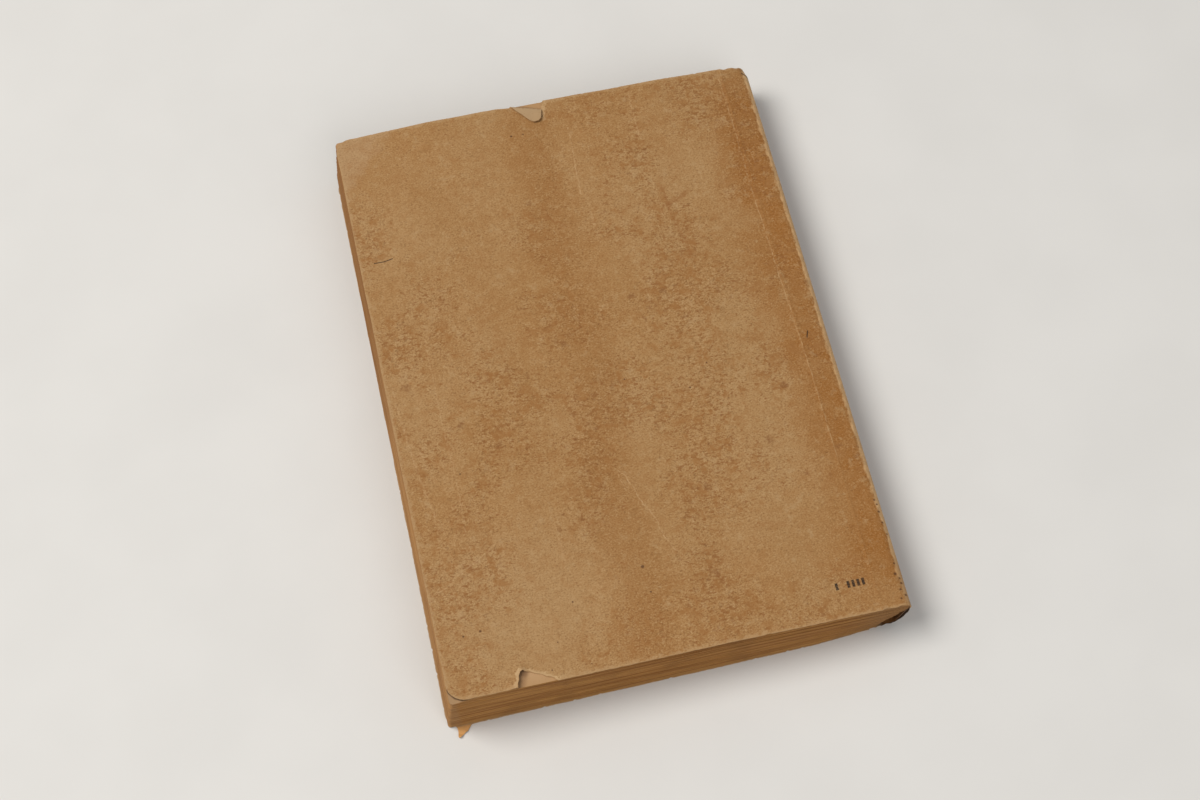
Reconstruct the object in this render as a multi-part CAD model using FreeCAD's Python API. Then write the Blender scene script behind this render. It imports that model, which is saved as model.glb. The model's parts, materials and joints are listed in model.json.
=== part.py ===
import FreeCAD, Part
import math
import os

# A thick old paperback that lies on its front cover, with the back cover up.
# X runs from the fore edge to the spine, Y from the tail to the head, and Z up.
# Every size is in millimetres.

# Trimmed book
WIDTH = 148.0             # back cover, from its fore edge to the spine's outer face
HEIGHT = 210.0            # covers, from tail to head
FORE_THICKNESS = 24.9     # whole book at the fore edge, where the leaves have swollen
SPINE_THICKNESS = 18.4    # whole book at the spine
LEAN = 2.9                # how far the front cover lies out from under the back cover
SPINE_RADIUS = 3.0        # outer rounding of the two long edges of the spine

# Cover card
CARD = 0.4                # thickness of the card
HINGE_STRIP = 9.5         # from the spine's outer face to the crease of each cover
BACK_CORNER = 4.6         # worn round fore corners of the back cover
FRONT_CORNER = 5.0        # worn round fore corners of the front cover

# Leaves and the glue that binds them
PAGE_INSET = 0.4          # the trimmed leaves end this far inside the cover's edges
PAGE_CORNER = 2.0         # worn fore corners of the leaves
LOOSE = 0.05              # the covers lie this loosely on the outermost leaves
GLUE = 0.3                # thickness of the glue between the leaves and the spine
SIDE_GLUE = 2.0           # how far the glue runs past the rounding onto the outermost leaves

# Torn notch in the tail edge of the back cover
NOTCH_START = 21.0        # from the fore edge to the notch
NOTCH_WIDTH = 12.6
NOTCH_DEPTH = 5.3
NOTCH_APEX = 2.4          # from the start of the notch to its deepest point

# Torn flap at the head edge of the back cover, folded back over the card
TEAR_START = 62.0         # from the fore edge to the start of the fold
TEAR_MOUTH = 12.5         # width of the missing piece along the head edge
FOLD_RUN = 11.0           # length of the fold along the head
FOLD_DEPTH = 4.0          # how far the fold runs in from the head edge
FOLD_RADIUS = 0.15        # inside of the bend
FLAP_LIFT = 7.0           # degrees that the folded flap stands off the card
TEAR_GAP = 0.15           # the bend ends this far short of the torn side

# Torn sliver of the front cover that sticks out at the tail
SLIVER_START = 3.2        # from the front cover's fore edge to the sliver
SLIVER_WIDTH = 4.6
SLIVER_LENGTH = 3.8
SLIVER_SHOULDER_IN = 2.4  # from the sliver's start to its blunt shoulder
SLIVER_SHOULDER_OUT = 2.7
SLIVER_ROOT = 3.0         # how far the sliver's own outline reaches into the cover

# Blunted corner of the spine at the head, on the back cover's side
BLUNT_ALONG_HEAD = 2.2
BLUNT_ALONG_SPINE = 7.0
BLUNT_DROP = 9.0

# Crushed corner of the spine at the tail, on the front cover's side
CRUSH_ALONG_TAIL = 10.0
CRUSH_RISE = 15.0
CRUSH_DEPTH = 1.2

TOP_SLOPE = (FORE_THICKNESS - SPINE_THICKNESS) / WIDTH
TOP_ANGLE = math.atan(TOP_SLOPE)
BACK_CREASE_X = WIDTH - HINGE_STRIP
FRONT_CREASE_X = WIDTH - LEAN - HINGE_STRIP
CENTRE = FreeCAD.Vector((WIDTH - LEAN) / 2, (HEIGHT - SLIVER_LENGTH) / 2, 0)


def section_point(x, z):
    return FreeCAD.Vector(x, 0, z)


def top_point(x, depth):
    """A point that lies this deep under the back cover's outer face, square to it."""
    height = SPINE_THICKNESS + TOP_SLOPE * (WIDTH - x)
    return section_point(x - depth * math.sin(TOP_ANGLE), height - depth * math.cos(TOP_ANGLE))


def spine_centres():
    """Centres of the two roundings of the spine, the back cover's side first."""
    upper = top_point(WIDTH - SPINE_RADIUS + SPINE_RADIUS * math.sin(TOP_ANGLE), SPINE_RADIUS)
    lower = section_point(WIDTH - LEAN - SPINE_RADIUS, SPINE_RADIUS)
    return upper, lower


def on_circle(centre, radius, angle):
    return centre + section_point(radius * math.cos(angle), radius * math.sin(angle))


def rounding(centre, radius, start, end):
    middle = (start + end) / 2
    points = [on_circle(centre, radius, angle) for angle in (start, middle, end)]
    return Part.Arc(*points).toShape()


def line(start, end):
    return Part.LineSegment(start, end).toShape()


def wrap(depth, top_x, bottom_x):
    """Edges of the line that runs round the spine at this depth under its outer face."""
    radius = SPINE_RADIUS - depth
    upper, lower = spine_centres()
    rise = upper - lower
    top_angle = math.pi / 2 - TOP_ANGLE
    side_angle = -math.atan2(rise.x, rise.z)
    bottom_angle = -math.pi / 2
    return [
        line(top_point(top_x, depth), on_circle(upper, radius, top_angle)),
        rounding(upper, radius, top_angle, side_angle),
        line(on_circle(upper, radius, side_angle), on_circle(lower, radius, side_angle)),
        rounding(lower, radius, side_angle, bottom_angle),
        line(on_circle(lower, radius, bottom_angle), section_point(bottom_x, depth)),
    ]


def extruded(edges, start_y, end_y):
    """Solid with this section, from start_y to end_y."""
    wire = Part.Wire(Part.__sortEdges__(edges))
    solid = Part.Face(wire).extrude(FreeCAD.Vector(0, end_y - start_y, 0))
    solid.translate(FreeCAD.Vector(0, start_y, 0))
    return solid


def wrapped_layer(outer, inner, top_x, bottom_x, start_y, end_y):
    """A layer between two depths that wraps the spine and ends square on both sides."""
    edges = wrap(outer, top_x, bottom_x) + wrap(inner, top_x, bottom_x)
    edges.append(line(top_point(top_x, outer), top_point(top_x, inner)))
    edges.append(line(section_point(bottom_x, outer), section_point(bottom_x, inner)))
    return extruded(edges, start_y, end_y)


def beyond_plane(first, second, third, inside):
    """Block that fills the side of a plane through three points where inside doesn't lie."""
    normal = (second - first).cross(third - first).normalize()
    if normal.dot(inside - first) > 0:
        normal = -normal
    reach = WIDTH + HEIGHT
    block = Part.makeBox(reach, reach, reach, FreeCAD.Vector(-reach / 2, -reach / 2, 0))
    block.Placement = FreeCAD.Placement(first, FreeCAD.Rotation(FreeCAD.Vector(0, 0, 1), normal))
    return block


def blunted_head_corner():
    top = SPINE_THICKNESS
    along_head = FreeCAD.Vector(WIDTH - BLUNT_ALONG_HEAD, HEIGHT, top)
    along_spine = FreeCAD.Vector(WIDTH, HEIGHT - BLUNT_ALONG_SPINE, top)
    down = FreeCAD.Vector(WIDTH, HEIGHT, top - BLUNT_DROP)
    return beyond_plane(along_head, along_spine, down, CENTRE)


def crushed_tail_corner():
    along_tail = FreeCAD.Vector(WIDTH - LEAN - CRUSH_ALONG_TAIL, 0, 0)
    up_spine = FreeCAD.Vector(WIDTH, 0, CRUSH_RISE)
    pushed_in = FreeCAD.Vector(WIDTH - LEAN, CRUSH_DEPTH, 0)
    return beyond_plane(along_tail, up_spine, pushed_in, CENTRE)


def with_worn_corners(solid):
    return solid.cut(blunted_head_corner()).cut(crushed_tail_corner())


def page_block():
    """All the leaves as one block, with a shallow step where the glue runs onto them."""
    top_x = WIDTH - SPINE_RADIUS - SIDE_GLUE
    bottom_x = top_x - LEAN
    glued = CARD + GLUE
    loose = CARD + LOOSE
    top_fore = top_point(PAGE_INSET, loose)
    bottom_fore = section_point(PAGE_INSET - LEAN, loose)
    edges = wrap(glued, top_x, bottom_x)
    edges.append(line(top_point(top_x, glued), top_point(top_x, loose)))
    edges.append(line(top_point(top_x, loose), top_fore))
    edges.append(line(top_fore, bottom_fore))
    edges.append(line(bottom_fore, section_point(bottom_x, loose)))
    edges.append(line(section_point(bottom_x, loose), section_point(bottom_x, glued)))
    block = extruded(edges, PAGE_INSET, HEIGHT - PAGE_INSET)
    return with_worn_corners(block.makeFillet(PAGE_CORNER, fore_corner_edges(block)))


def fore_corner_edges(block):
    """The block's two upright edges at the fore edge."""
    upright = [edge for edge in block.Edges if edge.BoundBox.ZLength > SPINE_THICKNESS / 2]
    return sorted(upright, key=lambda edge: edge.CenterOfMass.x)[:2]


def spine_glue():
    top_x = WIDTH - SPINE_RADIUS - SIDE_GLUE
    layer = wrapped_layer(CARD, CARD + GLUE, top_x, top_x - LEAN, PAGE_INSET, HEIGHT - PAGE_INSET)
    return with_worn_corners(layer)


def spine():
    """The spine of the card cover with its two hinge strips, up to the creases."""
    return with_worn_corners(wrapped_layer(0, CARD, BACK_CREASE_X, FRONT_CREASE_X, 0, HEIGHT))


def card_plate(length, corner):
    """Flat card from the fore edge at x = 0 to the crease, with worn round fore corners."""
    chord = corner * (1 - math.sqrt(0.5))
    tail_fore = [(corner, 0), (chord, chord), (0, corner)]
    head_fore = [(0, HEIGHT - corner), (chord, HEIGHT - chord), (corner, HEIGHT)]
    edges = [
        Part.Arc(*[FreeCAD.Vector(x, y, 0) for x, y in tail_fore]).toShape(),
        line(FreeCAD.Vector(0, corner, 0), FreeCAD.Vector(0, HEIGHT - corner, 0)),
        Part.Arc(*[FreeCAD.Vector(x, y, 0) for x, y in head_fore]).toShape(),
        line(FreeCAD.Vector(corner, HEIGHT, 0), FreeCAD.Vector(length, HEIGHT, 0)),
        line(FreeCAD.Vector(length, HEIGHT, 0), FreeCAD.Vector(length, 0, 0)),
        line(FreeCAD.Vector(length, 0, 0), FreeCAD.Vector(corner, 0, 0)),
    ]
    return Part.Face(Part.Wire(edges)).extrude(FreeCAD.Vector(0, 0, CARD))


def prism(points, low, high):
    """Upright prism over a plan outline given as (x, y) points."""
    corners = [FreeCAD.Vector(x, y, low) for x, y in points]
    outline = Part.makePolygon(corners + corners[:1])
    return Part.Face(outline).extrude(FreeCAD.Vector(0, 0, high - low))


def tail_notch():
    foot_right = NOTCH_START + NOTCH_WIDTH
    below = -NOTCH_DEPTH
    points = [
        (NOTCH_START, 0),
        (NOTCH_START + NOTCH_APEX, NOTCH_DEPTH),
        (foot_right, 0),
        (foot_right, below),
        (NOTCH_START, below),
    ]
    return prism(points, -CARD, 2 * CARD)


def fold_frame():
    """Placement at the start of the fold: X along it, Y out towards the head, Z up."""
    turn = -math.degrees(math.atan2(FOLD_DEPTH, FOLD_RUN))
    start = FreeCAD.Vector(TEAR_START, HEIGHT, 0)
    return FreeCAD.Placement(start, FreeCAD.Rotation(FreeCAD.Vector(0, 0, 1), turn))


def head_tear():
    """The piece missing from the card between the fold and the torn side."""
    above = HEIGHT + FOLD_DEPTH
    mouth_end = TEAR_START + TEAR_MOUTH
    points = [
        (TEAR_START, HEIGHT),
        (TEAR_START + FOLD_RUN, HEIGHT - FOLD_DEPTH),
        (mouth_end, HEIGHT),
        (mouth_end, above),
        (TEAR_START, above),
    ]
    return prism(points, -CARD, 2 * CARD)


def flap_section():
    """Bend and flap as one strip, square to the fold, long enough for the whole flap."""
    outer = FOLD_RADIUS + CARD
    length = TEAR_MOUTH
    centre = FreeCAD.Vector(0, 0, CARD + FOLD_RADIUS)
    end_angle = math.radians(90 - FLAP_LIFT)
    run = FreeCAD.Vector(0, -math.sin(end_angle), math.cos(end_angle)) * length

    def around(radius, angle):
        return centre + FreeCAD.Vector(0, radius * math.cos(angle), radius * math.sin(angle))

    start_angle = -math.pi / 2
    middle_angle = (start_angle + end_angle) / 2
    outer_arc = [around(outer, angle) for angle in (start_angle, middle_angle, end_angle)]
    inner_arc = [around(FOLD_RADIUS, angle) for angle in (start_angle, middle_angle, end_angle)]
    edges = [
        Part.Arc(*outer_arc).toShape(),
        line(outer_arc[2], outer_arc[2] + run),
        line(outer_arc[2] + run, inner_arc[2] + run),
        line(inner_arc[2] + run, inner_arc[2]),
        Part.Arc(*inner_arc).toShape(),
        line(inner_arc[0], outer_arc[0]),
    ]
    return Part.Face(Part.Wire(Part.__sortEdges__(edges)))


def flap_outline():
    """Plan of the folded flap beside the fold: the missing piece, mirrored in the fold."""
    turn = math.atan2(FOLD_DEPTH, FOLD_RUN)
    fold_length = math.hypot(FOLD_DEPTH, FOLD_RUN)
    reach = FOLD_RADIUS + CARD
    tip = (TEAR_MOUTH * math.cos(turn), -TEAR_MOUTH * math.sin(turn))
    end = fold_length - TEAR_GAP
    return [(0, 0), (reach / math.tan(turn), reach), (end, reach), (end, 0), tip]


def folded_flap():
    height = CARD + TEAR_MOUTH
    strip = flap_section().extrude(FreeCAD.Vector(TEAR_MOUTH + FOLD_RUN, 0, 0))
    flap = strip.common(prism(flap_outline(), -CARD, height))
    flap.Placement = fold_frame().multiply(flap.Placement)
    return flap


def back_cover():
    """The back cover beyond its crease, with the torn notch and the folded flap."""
    length = BACK_CREASE_X / math.cos(TOP_ANGLE)
    card = card_plate(length, BACK_CORNER).cut(tail_notch()).cut(head_tear())
    card = card.fuse(folded_flap()).removeSplitter()
    card.translate(FreeCAD.Vector(0, 0, -CARD))
    tilt = FreeCAD.Rotation(FreeCAD.Vector(0, 1, 0), math.degrees(TOP_ANGLE))
    return card.transformed(FreeCAD.Placement(top_point(0, 0), tilt).toMatrix())


def torn_sliver():
    points = [
        (SLIVER_START, SLIVER_ROOT),
        (SLIVER_START, -SLIVER_LENGTH),
        (SLIVER_START + SLIVER_SHOULDER_IN, -SLIVER_SHOULDER_OUT),
        (SLIVER_START + SLIVER_WIDTH, 0),
        (SLIVER_START + SLIVER_WIDTH, SLIVER_ROOT),
    ]
    return prism(points, 0, CARD)


def front_cover():
    """The front cover beyond its crease, flat on the table, with its torn sliver."""
    card = card_plate(FRONT_CREASE_X + LEAN, FRONT_CORNER).fuse(torn_sliver()).removeSplitter()
    card.translate(FreeCAD.Vector(-LEAN, 0, 0))
    return card


def single_solid(shape):
    """The one solid that a boolean result holds."""
    if len(shape.Solids) != 1:
        raise ValueError("a piece fell into %d solids" % len(shape.Solids))
    return shape.Solids[0]


def write_node(name, shape):
    solid = single_solid(shape).copy()
    solid.translate(-CENTRE)
    solid.exportStep("parts/%s.step" % name)
    box = solid.optimalBoundingBox()
    print("%s volume %.1f valid %s" % (name, solid.Volume, solid.isValid()))
    print("  x %.3f..%.3f  y %.3f..%.3f" % (box.XMin, box.XMax, box.YMin, box.YMax))
    print("  z %.3f..%.3f" % (box.ZMin, box.ZMax))


os.makedirs("parts", exist_ok=True)
write_node("page_block", page_block())
write_node("spine_glue", spine_glue())
write_node("spine", spine())
write_node("back_cover", back_cover())
write_node("front_cover", front_cover())
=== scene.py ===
import math

import bpy
import numpy as np
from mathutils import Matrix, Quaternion, Vector
from mathutils.geometry import delaunay_2d_cdt
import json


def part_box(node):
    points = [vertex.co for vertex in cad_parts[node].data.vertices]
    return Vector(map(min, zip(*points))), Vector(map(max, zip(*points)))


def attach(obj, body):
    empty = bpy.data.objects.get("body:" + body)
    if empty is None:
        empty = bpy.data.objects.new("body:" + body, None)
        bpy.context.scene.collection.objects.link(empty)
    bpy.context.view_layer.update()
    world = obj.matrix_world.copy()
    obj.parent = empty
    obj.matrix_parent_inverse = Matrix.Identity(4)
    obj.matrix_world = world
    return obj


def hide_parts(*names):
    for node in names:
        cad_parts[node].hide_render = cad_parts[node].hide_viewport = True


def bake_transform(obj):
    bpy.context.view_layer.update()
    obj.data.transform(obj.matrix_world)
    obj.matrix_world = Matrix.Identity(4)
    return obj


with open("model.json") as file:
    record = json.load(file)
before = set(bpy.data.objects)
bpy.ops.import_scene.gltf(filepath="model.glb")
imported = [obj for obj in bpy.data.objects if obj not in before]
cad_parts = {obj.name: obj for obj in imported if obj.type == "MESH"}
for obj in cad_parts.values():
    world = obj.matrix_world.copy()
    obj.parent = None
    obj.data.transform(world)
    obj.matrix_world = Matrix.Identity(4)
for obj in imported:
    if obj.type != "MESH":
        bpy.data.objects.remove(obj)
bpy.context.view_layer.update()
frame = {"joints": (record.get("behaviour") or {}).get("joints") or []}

# All shapes are worked out in millimetres as (u, v, z): u from the back cover's fore edge
# towards the spine, v from the tail towards the head, z up from the floor.
MM = 0.001


def node_box(node):
    low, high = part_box(node)
    return np.array(low) / MM, np.array(high) / MM


page_low, page_high = node_box("page_block")
glue_high = node_box("spine_glue")[1]
spine_low, spine_high = node_box("spine")
back_low, back_high = node_box("back_cover")
front_low, front_high = node_box("front_cover")
hinges = {joint["name"]: np.array(joint["pos_m"]) / MM for joint in frame["joints"]}

# Sizes that the frame gives
FORE_X = back_low[0]
TAIL_Y = spine_low[1]
WIDTH = spine_high[0] - FORE_X
HEIGHT = spine_high[1] - TAIL_Y
LEAN = FORE_X - front_low[0]
CARD = front_high[2]
LOOSE = page_low[2] - CARD
GLUE = glue_high[0] - page_high[0]
PAGE_INSET = page_low[1] - TAIL_Y
BACK_CREASE = hinges["back_cover_hinge"][0] - FORE_X
FRONT_CREASE = hinges["front_cover_hinge"][0] - FORE_X
FORE_TOP = back_high[2]
SLOPE = (FORE_TOP - hinges["back_cover_hinge"][2]) / BACK_CREASE
SQUARE = math.hypot(1, SLOPE)

# Sizes of the same book that the frame doesn't give
SPINE_RADIUS = 3.0
SIDE_GLUE = 2.0
PAGE_CORNER = 0.9
GLUE_START = WIDTH - SPINE_RADIUS - SIDE_GLUE

# How finely things are divided
ROW_STEP = 1.0
OUTLINE_STEP = 0.7
GRID_STEP = 1.4
LEAF_LAYERS = 118
LEAF_GAP = 0.05           # share of a layer left open below and above it


def smooth(value):
    """0 below 0, 1 above 1 and a soft step between."""
    value = np.clip(value, 0, 1)
    return value * value * (3 - 2 * value)


def waves(seed, length, across, along):
    """Smooth random field of about unit size, with features about this long."""
    rng = np.random.default_rng(seed)
    total = np.zeros(np.broadcast(across, along).shape)
    parts = 14
    for _ in range(parts):
        turn, phase = rng.uniform(0, 2 * math.pi, 2)
        rate = 2 * math.pi / (length * rng.uniform(0.7, 1.6))
        total += np.sin(rate * (across * math.cos(turn) + along * math.sin(turn)) + phase)
    return total * math.sqrt(2 / parts)


# The book's own form, before wear


def plane_top(u):
    """Height of the back cover's outer face."""
    return FORE_TOP - SLOPE * u


def under_top(u, depth):
    return plane_top(u) - depth * SQUARE


def spine_circles():
    """Centres (u, z) of the spine's two roundings, the back cover's side first."""
    upper_u = WIDTH - SPINE_RADIUS
    upper = np.array([upper_u, under_top(upper_u, SPINE_RADIUS)])
    lower = np.array([WIDTH - LEAN - SPINE_RADIUS, SPINE_RADIUS])
    return upper, lower


def wrap_section(depth, top_start, bottom_end):
    """Points (u, z) of the line that runs round the spine at this depth."""
    upper, lower = spine_circles()
    radius = SPINE_RADIUS - depth
    tilt = math.atan(SLOPE)
    rise = upper - lower
    side = -math.atan2(rise[0], rise[1])

    def arc(centre, start, end):
        turn = np.linspace(start, end, 9)[:, None]
        return centre + radius * np.hstack([np.cos(turn), np.sin(turn)])

    top_arc = arc(upper, math.pi / 2 - tilt, side)
    bottom_arc = arc(lower, side, -math.pi / 2)
    first = np.array([top_start - depth * math.sin(tilt), under_top(top_start, 0) - depth * math.cos(tilt)])
    last = np.array([bottom_end, depth])

    def run(start, end, count):
        share = np.linspace(0, 1, count + 1)[:, None]
        return start + (end - start) * share

    return np.vstack([
        run(first, top_arc[0], 9)[:-1],
        top_arc,
        run(top_arc[-1], bottom_arc[0], 12)[1:-1],
        bottom_arc,
        run(bottom_arc[-1], last, 9)[1:],
    ])


# Wear moves every layer of the book alike, so that layers never cross

HEAD_BOW_FROM = 150.0     # the book bows up from here to the head edge
HEAD_BOW_MIDDLE = 1.4
HEAD_BOW_ENDS = -0.7
CRUSH_ALONG_TAIL = 28.0   # crushed corner of the spine at the tail
CRUSH_RISE = 15.0
CRUSH_DEPTH = 1.6
BLUNT_ALONG_HEAD = 1.2    # blunted corner of the spine at the head
BLUNT_ALONG_SPINE = 5.0
BLUNT_DROP = 9.0


def relief(u, v):
    """How far the back cover's face stands off its plane."""
    bow = HEAD_BOW_ENDS + (HEAD_BOW_MIDDLE - HEAD_BOW_ENDS) * np.sin(np.clip(u / WIDTH, 0, 1) * math.pi)
    bow = bow * smooth((v - HEAD_BOW_FROM) / (HEIGHT - HEAD_BOW_FROM))
    still = smooth(u / 25) * smooth((WIDTH - u) / 12)
    ripple = 0.22 * waves(3, 75, u, v) + 0.07 * waves(4, 22, u, v)
    return bow + ripple * still - 0.12 * smooth((20 - u) / 20)


def crush_push(u, z):
    """How far the spine's lower corner is pushed in at the tail."""
    start = WIDTH - LEAN - CRUSH_ALONG_TAIL
    across = CRUSH_DEPTH / CRUSH_ALONG_TAIL
    down = across * (WIDTH - start) / CRUSH_RISE
    return np.maximum(0, across * (u - start) - down * z)


def blunt_push(v, z):
    """How far the spine's upper corner is pushed towards the fore edge at the head."""
    along = BLUNT_ALONG_HEAD / BLUNT_ALONG_SPINE
    up = BLUNT_ALONG_HEAD / BLUNT_DROP
    return np.maximum(0, along * (v - HEIGHT + BLUNT_ALONG_SPINE) + up * (z - plane_top(WIDTH)))


def worn(points):
    """Where wear and age have moved these (u, v, z) points to."""
    u, v, z = np.asarray(points, float).T
    share = z / plane_top(u)
    tail_fade = 12.0
    spine_fade = 10.0
    new_v = v + crush_push(u, z) * np.clip(1 - v / tail_fade, 0, 1) ** 2
    new_u = u - blunt_push(v, z) * np.clip(1 - (WIDTH - u) / spine_fade, 0, 1) ** 2
    crumple = smooth((u - WIDTH + 7) / 6) * smooth((v - HEIGHT + 8) / 7) * share
    new_z = z + share ** 2 * relief(u, v) - 0.2 * crumple * (1 + waves(5, 4, u, v))
    return np.stack([new_u, new_v, new_z], 1)


# The dark hollow at the tail, where the loose lower spine stands off the leaves
HOLLOW_START = 140.2      # u where its slanting upper edge is HOLLOW_TOP above the floor
HOLLOW_TOP = 5.7
HOLLOW_RISE = 1.25        # rise of that edge per millimetre towards the spine
HOLLOW_DEPTH = 2.4


# Meshes


def in_frame(points):
    """Millimetre (u, v, z) points as metres in the row frame."""
    return (np.asarray(points) + [FORE_X, TAIL_Y, 0]) * MM


def placed(name, data):
    """New object in the scene that shows this data."""
    made = bpy.data.objects.new(name, data)
    bpy.context.scene.collection.objects.link(made)
    return made


def mesh_object(name, points, faces, materials, face_slots, extra):
    """Object from millimetre points; extra holds named values per point."""
    mesh = bpy.data.meshes.new(name)
    mesh.from_pydata(in_frame(points).tolist(), [], faces)
    mesh.polygons.foreach_set("material_index", np.asarray(face_slots, np.int32))
    mesh.polygons.foreach_set("use_smooth", np.ones(len(faces), bool))
    for material in materials:
        mesh.materials.append(material)
    for key, values in extra.items():
        values = np.asarray(values, np.float32)
        kind, field = ("FLOAT_VECTOR", "vector") if values.ndim == 2 else ("FLOAT", "value")
        mesh.attributes.new(key, kind, "POINT").data.foreach_set(field, values.ravel())
    mesh.set_sharp_from_angle(angle=math.radians(42))
    mesh.update()
    return placed(name, mesh)


def resampled(points, step=OUTLINE_STEP):
    """Open line through the points, divided into short even parts."""
    points = np.asarray(points, float)
    made = []
    for start, end in zip(points[:-1], points[1:]):
        count = max(1, int(round(np.linalg.norm(end - start) / step)))
        share = np.linspace(0, 1, count + 1)[:-1, None]
        made.append(start + (end - start) * share)
    return np.vstack(made + [points[-1:]])


def corner_arc(centre, radius, start_degrees):
    """Quarter circle, anticlockwise from this angle."""
    turn = np.radians(np.linspace(start_degrees, start_degrees + 90, 8))[:, None]
    return np.asarray(centre) + radius * np.hstack([np.cos(turn), np.sin(turn)])


def travelled(points):
    """Distance along a line from its start to each of its points."""
    steps = np.linalg.norm(np.diff(points, axis=0), axis=1)
    return np.concatenate([[0], np.cumsum(steps)])


def ragged(points, seed, amount):
    """Moves a line's points to its left, inwards, by a small uneven amount."""
    ahead = np.gradient(points, axis=0)
    inward = np.stack([-ahead[:, 1], ahead[:, 0]], 1)
    inward /= np.linalg.norm(inward, axis=1)[:, None]
    along = travelled(points)
    nicks = 1.6 * np.maximum(0, waves(seed + 100, 1.6, along, 0) - 1.3)
    fray = 0.5 * np.abs(waves(seed, 25, along, 0)) + 0.25 * np.abs(waves(seed + 1, 2.5, along, 0))
    ends = smooth(along / 2) * smooth((along[-1] - along) / 2)
    return points + inward * (amount * (fray + nicks) * ends)[:, None]


def segment_distance(points, starts, ends):
    """Shortest distance from each point to any of the segments."""
    best = np.full(len(points), 1e9)
    for start, end in zip(starts, ends):
        along = end - start
        share = np.clip(((points - start) @ along) / max(along @ along, 1e-12), 0, 1)
        best = np.minimum(best, np.linalg.norm(points - start - share[:, None] * along, axis=1))
    return best


def inside(points, outline):
    """Which points lie inside the closed outline."""
    result = np.zeros(len(points), bool)
    x, y = points.T
    for (x0, y0), (x1, y1) in zip(outline, np.roll(outline, -1, axis=0)):
        crosses = (y0 > y) != (y1 > y)
        if y0 != y1:
            result ^= crosses & (x < (x1 - x0) * (y - y0) / (y1 - y0) + x0)
    return result


def plan_triangles(outline, columns, rows):
    """Triangles over an outline. Points are the outline's, then the grid's inside it."""
    grid = np.stack(np.meshgrid(columns, rows), -1).reshape(-1, 2)
    grid = grid[inside(grid, outline)]
    gap = 0.45 * min(np.diff(columns).min(), np.diff(rows).min())
    clear = segment_distance(grid, outline, np.roll(outline, -1, axis=0)) > gap
    points = np.vstack([outline, grid[clear]])
    count = len(outline)
    edges = [(i, (i + 1) % count) for i in range(count)]
    result = delaunay_2d_cdt([Vector(p) for p in points], edges, [], 1, 1e-7)
    source = [ids[0] if ids else None for ids in result[3]]
    triangles = [[source[i] for i in face] for face in result[2]]
    triangles = [face for face in triangles if None not in face]
    return points, [anticlockwise(face, points) for face in triangles]


def anticlockwise(face, points):
    a, b, c = (points[i] for i in face)
    area = (b[0] - a[0]) * (c[1] - a[1]) - (b[1] - a[1]) * (c[0] - a[0])
    return face if area > 0 else face[::-1]


def card_sheet(outline, cut, columns, rows, place):
    """Card with two faces and a rim. place maps (u, v), depth 0 to 1 to (u, v, z).
    Returns points, faces, face slots (0 outer, 1 inner, 2 rim) and distance to a cut edge."""
    plan, triangles = plan_triangles(outline, columns, rows)
    count = len(plan)
    rim = len(outline)
    points = np.vstack([place(plan, 0.0), place(plan, 1.0), place(outline, 0.5)])
    faces = list(triangles)
    faces += [[i + count for i in face[::-1]] for face in triangles]
    slots = [0] * len(triangles) + [1] * len(triangles)
    for i in range(rim):
        j = (i + 1) % rim
        middle_i, middle_j = 2 * count + i, 2 * count + j
        faces.append([i, middle_i, middle_j, j])
        faces.append([middle_i, i + count, j + count, middle_j])
        slots += [2, 2]
    following = np.roll(outline, -1, axis=0)
    both = cut & np.roll(cut, -1)
    distance = segment_distance(plan, outline[both], following[both])
    return points, faces, slots, np.concatenate([distance, distance, np.zeros(rim)])


def joined(first, second):
    """Two (points, faces, slots, distance) sets as one."""
    shift = len(first[0])
    faces = first[1] + [[i + shift for i in face] for face in second[1]]
    points = np.vstack([first[0], second[0]])
    return points, faces, first[2] + second[2], np.concatenate([first[3], second[3]])


def outline_of(edges):
    """Closed outline from (line, seed, fray, is cut) edges in anticlockwise order."""
    points, cut = [], []
    for line, seed, fray, is_cut in edges:
        line = ragged(line, seed, fray) if fray else line
        points.append(line[:-1])
        cut += [is_cut] * (len(line) - 1)
    return np.vstack(points), np.array(cut)


def crease_line(u):
    """Points up the crease, at the heights that the spine piece uses too."""
    v = np.linspace(0, HEIGHT, int(HEIGHT / ROW_STEP) + 1)
    return np.stack([np.full(len(v), u), v], 1)


def columns_to(crease, start, step):
    """Grid columns up to a crease, closer together beside it, where the card bends."""
    near_crease = np.arange(crease - 5, crease - 0.3, 0.5)
    return np.concatenate([np.arange(start, crease - 5.5, step), near_crease])


def crease_ridge(u, crease):
    """The card is a little proud along its crease."""
    return 0.12 * np.exp(-((u - crease) / 0.45) ** 2)


# Back cover

NOTCH = [
    (21.9, 0), (22.2, 1.5), (22.8, 2.6), (22.9, 3.7), (23.6, 5.0), (24.4, 5.4), (25.0, 4.9), (26.5, 4.5),
    (28.2, 3.6), (29.6, 3.2), (31.2, 2.0), (32.8, 1.5), (34.4, 0),
]
TEAR_START = (61.9, 209.4)
TEAR_INNER = (71.9, 206.2)
TEAR_OUTER = (74.5, HEIGHT)
SLIT_END = (73.15, 202.6)
FLAP = [
    TEAR_START, (64.2, 206.2), (67.9, 201.6), (69.3, 200.5), (71.0, 200.6), (72.0, 201.6), (72.5, 203.4),
    (72.9, 205.4),
]
FOLD_RADIUS = 0.12
FLAP_LIFT = 3.4           # degrees between the folded flap and the cover


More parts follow.
